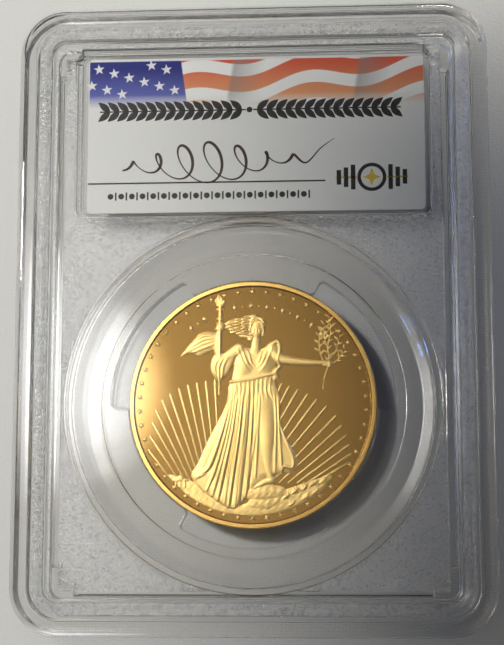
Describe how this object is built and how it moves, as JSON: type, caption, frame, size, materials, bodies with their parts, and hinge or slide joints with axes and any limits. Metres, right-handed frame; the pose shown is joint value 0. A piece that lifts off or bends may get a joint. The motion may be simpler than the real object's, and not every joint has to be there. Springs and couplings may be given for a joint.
{
  "type": "graded coin slab",
  "caption": "Clear two-part coin holder with raised stacking rims, a three-pad coin ring, a gold coin and a printed label card.",
  "frame": {"origin": "centre of the slab's outline on the plane of its back rims", "axes": "+X across the slab to the viewer's right, +Y to the label end, +Z out of the front face"},
  "size_m": [0.063, 0.084, 0.0079],
  "materials": {
    "clear_plastic": "clear polished with frosted fields",
    "gold": "proof: mirror field, frosted relief",
    "card": "printed coated card",
    "foil": "polished diffraction foil"
  },
  "bodies": {
    "case": {"back_shell": "clear_plastic", "front_shell": "clear_plastic", "coin_ring": "clear_plastic", "label_card": "card", "security_foil": "foil"},
    "coin": {"coin": "gold"}
  },
  "joints": [
    {"name": "coin_turn", "type": "hinge", "parent": "case", "child": "coin", "pos_m": [0, -0.0119, 0.00395], "axis": [0, 0, 1], "continuous": true}
  ]
}
